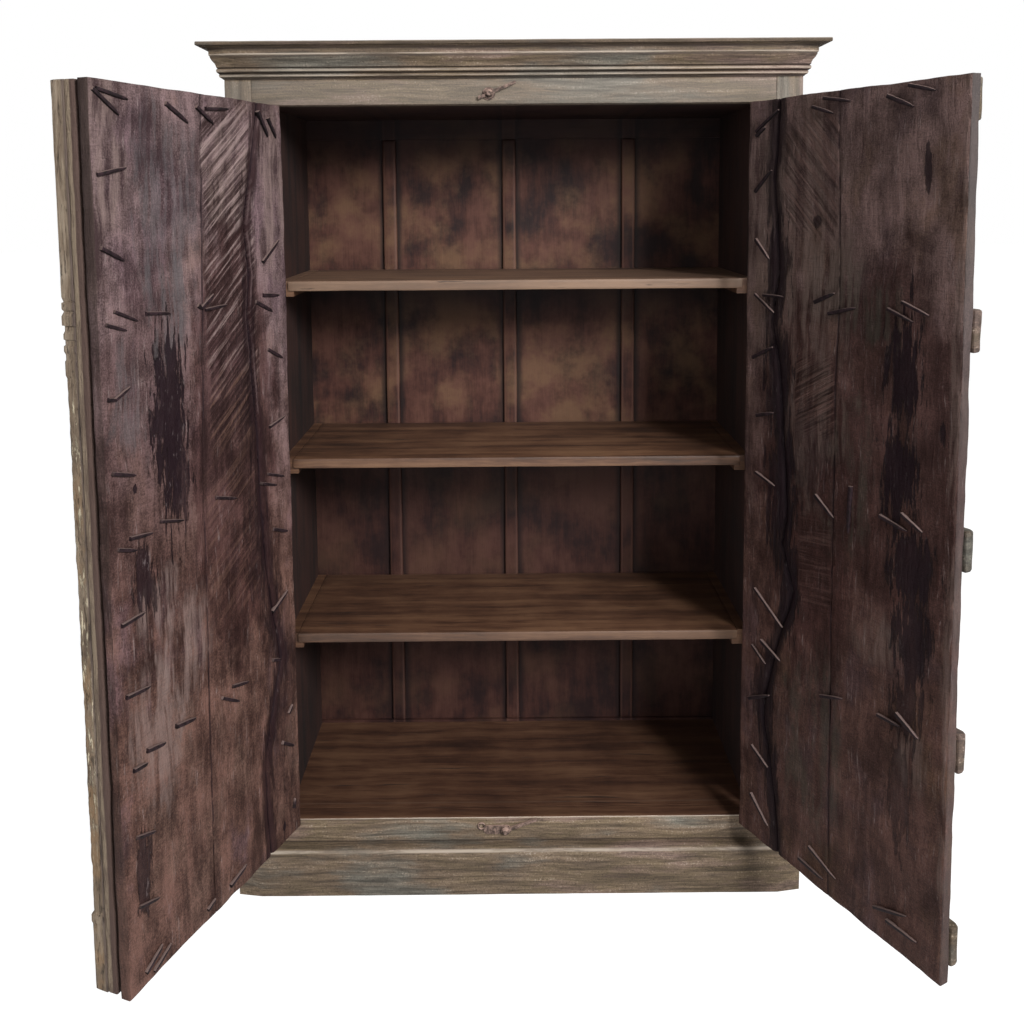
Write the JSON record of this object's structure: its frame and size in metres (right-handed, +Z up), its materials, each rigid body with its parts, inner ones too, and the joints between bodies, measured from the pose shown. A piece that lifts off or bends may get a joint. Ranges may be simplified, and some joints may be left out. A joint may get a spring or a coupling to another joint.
{
  "type": "trastero cabinet",
  "caption": "Tall weathered storage cabinet with a moulded cornice, a plain plinth, inner shelves and a pair of old ledged plank doors, the left with a carved cover post.",
  "frame": {"origin": "middle of the base on the floor", "axes": "+Z up, the doors face -Y and +X is to the right of someone facing the doors"},
  "size_m": [1.5346, 0.9784, 1.874],
  "materials": {
    "painted_wood": "worn dull paint over wood",
    "inner_wood": "dark aged wood",
    "shelf_wood": "oiled wood",
    "left_door_wood": "rough sawn, weathered",
    "right_door_wood": "rough sawn, weathered",
    "carved_wood": "carved, with worn paint",
    "iron": "rusted forged iron",
    "painted_iron": "forged iron, painted over"
  },
  "bodies": {
    "cabinet": {"back_bottom_rail": "painted_wood", "back_top_rail": "painted_wood", "ceiling_board": "inner_wood", "centre_back_muntin": "inner_wood", "cornice_front": "painted_wood", "cornice_left": "painted_wood", "cornice_right": "painted_wood", "floor_bearers": "inner_wood", "floor_board": "shelf_wood", "frieze_rail": "painted_wood", "hinge_jamb_flaps": "iron", "hinge_pins": "iron", "inner_left_back_panel": "inner_wood", "inner_right_back_panel": "inner_wood", "left_back_muntin": "inner_wood", "left_front_post": "painted_wood", "left_jamb": "painted_wood", "left_lining": "inner_wood", "left_rear_post": "painted_wood", "left_shelf_cleats": "shelf_wood", "left_side_bottom_rail": "painted_wood", "left_side_panel": "painted_wood", "left_side_top_rail": "painted_wood", "lower_catch_rivet": "painted_iron", "lower_shelf": "shelf_wood", "middle_shelf": "shelf_wood", "outer_left_back_panel": "inner_wood", "outer_right_back_panel": "inner_wood", "plinth_front": "painted_wood", "plinth_left": "painted_wood", "plinth_right": "painted_wood", "right_back_muntin": "inner_wood", "right_front_post": "painted_wood", "right_jamb": "painted_wood", "right_lining": "inner_wood", "right_rear_post": "painted_wood", "right_shelf_cleats": "shelf_wood", "right_side_bottom_rail": "painted_wood", "right_side_panel": "painted_wood", "right_side_top_rail": "painted_wood", "threshold_rail": "painted_wood", "top_board": "painted_wood", "upper_catch_rivet": "painted_iron", "upper_shelf": "shelf_wood"},
    "left_door": {"left_door_cover_post": "carved_wood", "left_door_hinge_plank": "left_door_wood", "left_door_ledges": "left_door_wood", "left_door_middle_plank": "left_door_wood", "left_door_nails": "iron", "left_door_outer_plank": "left_door_wood", "left_hinge_leaf_flaps": "iron"},
    "right_door": {"right_door_hinge_plank": "right_door_wood", "right_door_ledges": "right_door_wood", "right_door_middle_plank": "right_door_wood", "right_door_nails": "iron", "right_door_outer_plank": "right_door_wood", "right_hinge_leaf_flaps": "iron"},
    "upper_catch": {"upper_catch_arm": "painted_iron"},
    "lower_catch": {"lower_catch_arm": "painted_iron"}
  },
  "joints": [
    {"name": "left_door_hinge", "type": "hinge", "parent": "cabinet", "child": "left_door", "pos_m": [-0.5373, -0.218, 0.954], "axis": [0, 0, 1], "range_deg": [-18.5, 111.5]},
    {"name": "right_door_hinge", "type": "hinge", "parent": "cabinet", "child": "right_door", "pos_m": [0.5373, -0.218, 0.954], "axis": [0, 0, 1], "range_deg": [-117.5, 12.5]},
    {"name": "upper_catch_pivot", "type": "hinge", "parent": "cabinet", "child": "upper_catch", "pos_m": [-0.053, -0.211, 1.769], "axis": [0, -1, 0], "range_deg": [-218, 3]},
    {"name": "lower_catch_pivot", "type": "hinge", "parent": "cabinet", "child": "lower_catch", "pos_m": [-0.031, -0.211, 0.135], "axis": [0, -1, 0], "range_deg": [-25, 135]}
  ]
}
